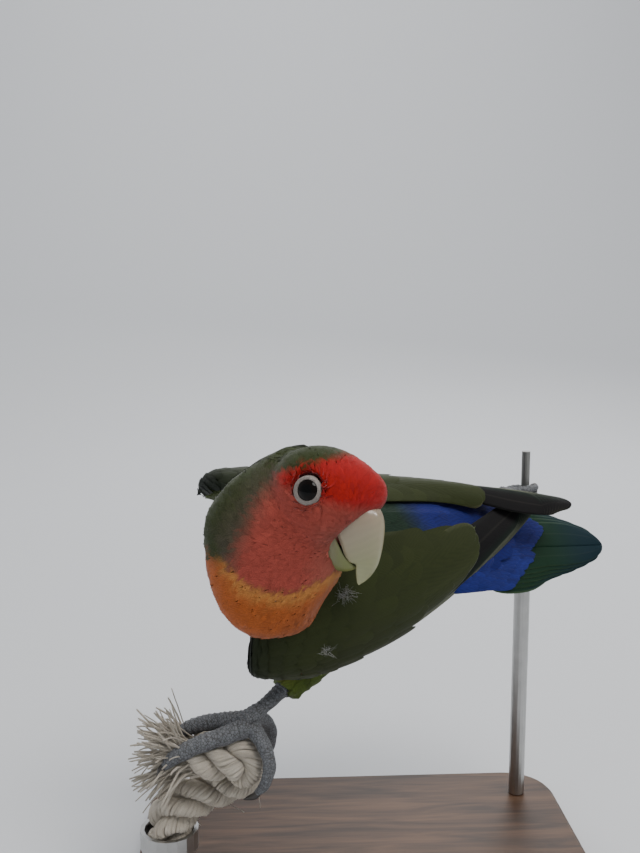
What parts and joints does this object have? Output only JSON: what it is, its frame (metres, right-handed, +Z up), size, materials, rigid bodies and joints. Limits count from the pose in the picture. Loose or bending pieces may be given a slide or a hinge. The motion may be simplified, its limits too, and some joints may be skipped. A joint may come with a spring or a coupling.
{
  "type": "peach faced lovebird model",
  "caption": "Life-size model of a peach faced lovebird that clings between a rope end and an upright wire and looks back over its shoulder, on a plain display stand.",
  "frame": {"origin": "bottom centre of the stand's base", "axes": "+X from the bird's breast towards its tail, +Y away from the viewer, +Z up"},
  "size_m": [0.1429, 0.0799, 0.1302],
  "materials": {
    "face_feathers": "matte plumage, red to peach pink",
    "throat_feathers": "matte plumage, orange",
    "body_feathers": "matte plumage, olive green",
    "wing_feathers": "satin plumage, dark olive green",
    "flight_feathers": "satin vanes, black brown",
    "tail_feathers": "satin vanes, dark blue green",
    "bill": "semi-gloss horn",
    "eye": "wet gloss",
    "foot_skin": "dry scaly skin",
    "rope": "matte cotton",
    "wire": "dull zinc coated",
    "stand_metal": "satin",
    "stand_wood": "satin varnish"
  },
  "bodies": {
    "root": {"head": "face_feathers", "neck": "throat_feathers", "trunk": "body_feathers", "tail": "tail_feathers", "wing_left": "wing_feathers", "wing_right": "wing_feathers", "primaries_left": "flight_feathers", "primaries_right": "flight_feathers", "thigh_left": "body_feathers", "thigh_right": "body_feathers", "bill_upper": "bill", "bill_lower": "bill", "eye_left": "eye", "eye_right": "eye", "foot_left": "foot_skin", "foot_right": "foot_skin", "perch_rope": "rope", "perch_wire": "wire", "stand_base": "stand_wood", "stand_cup": "stand_metal", "stand_post_cup": "stand_metal", "stand_post_wire": "stand_metal"}
  },
  "joints": []
}
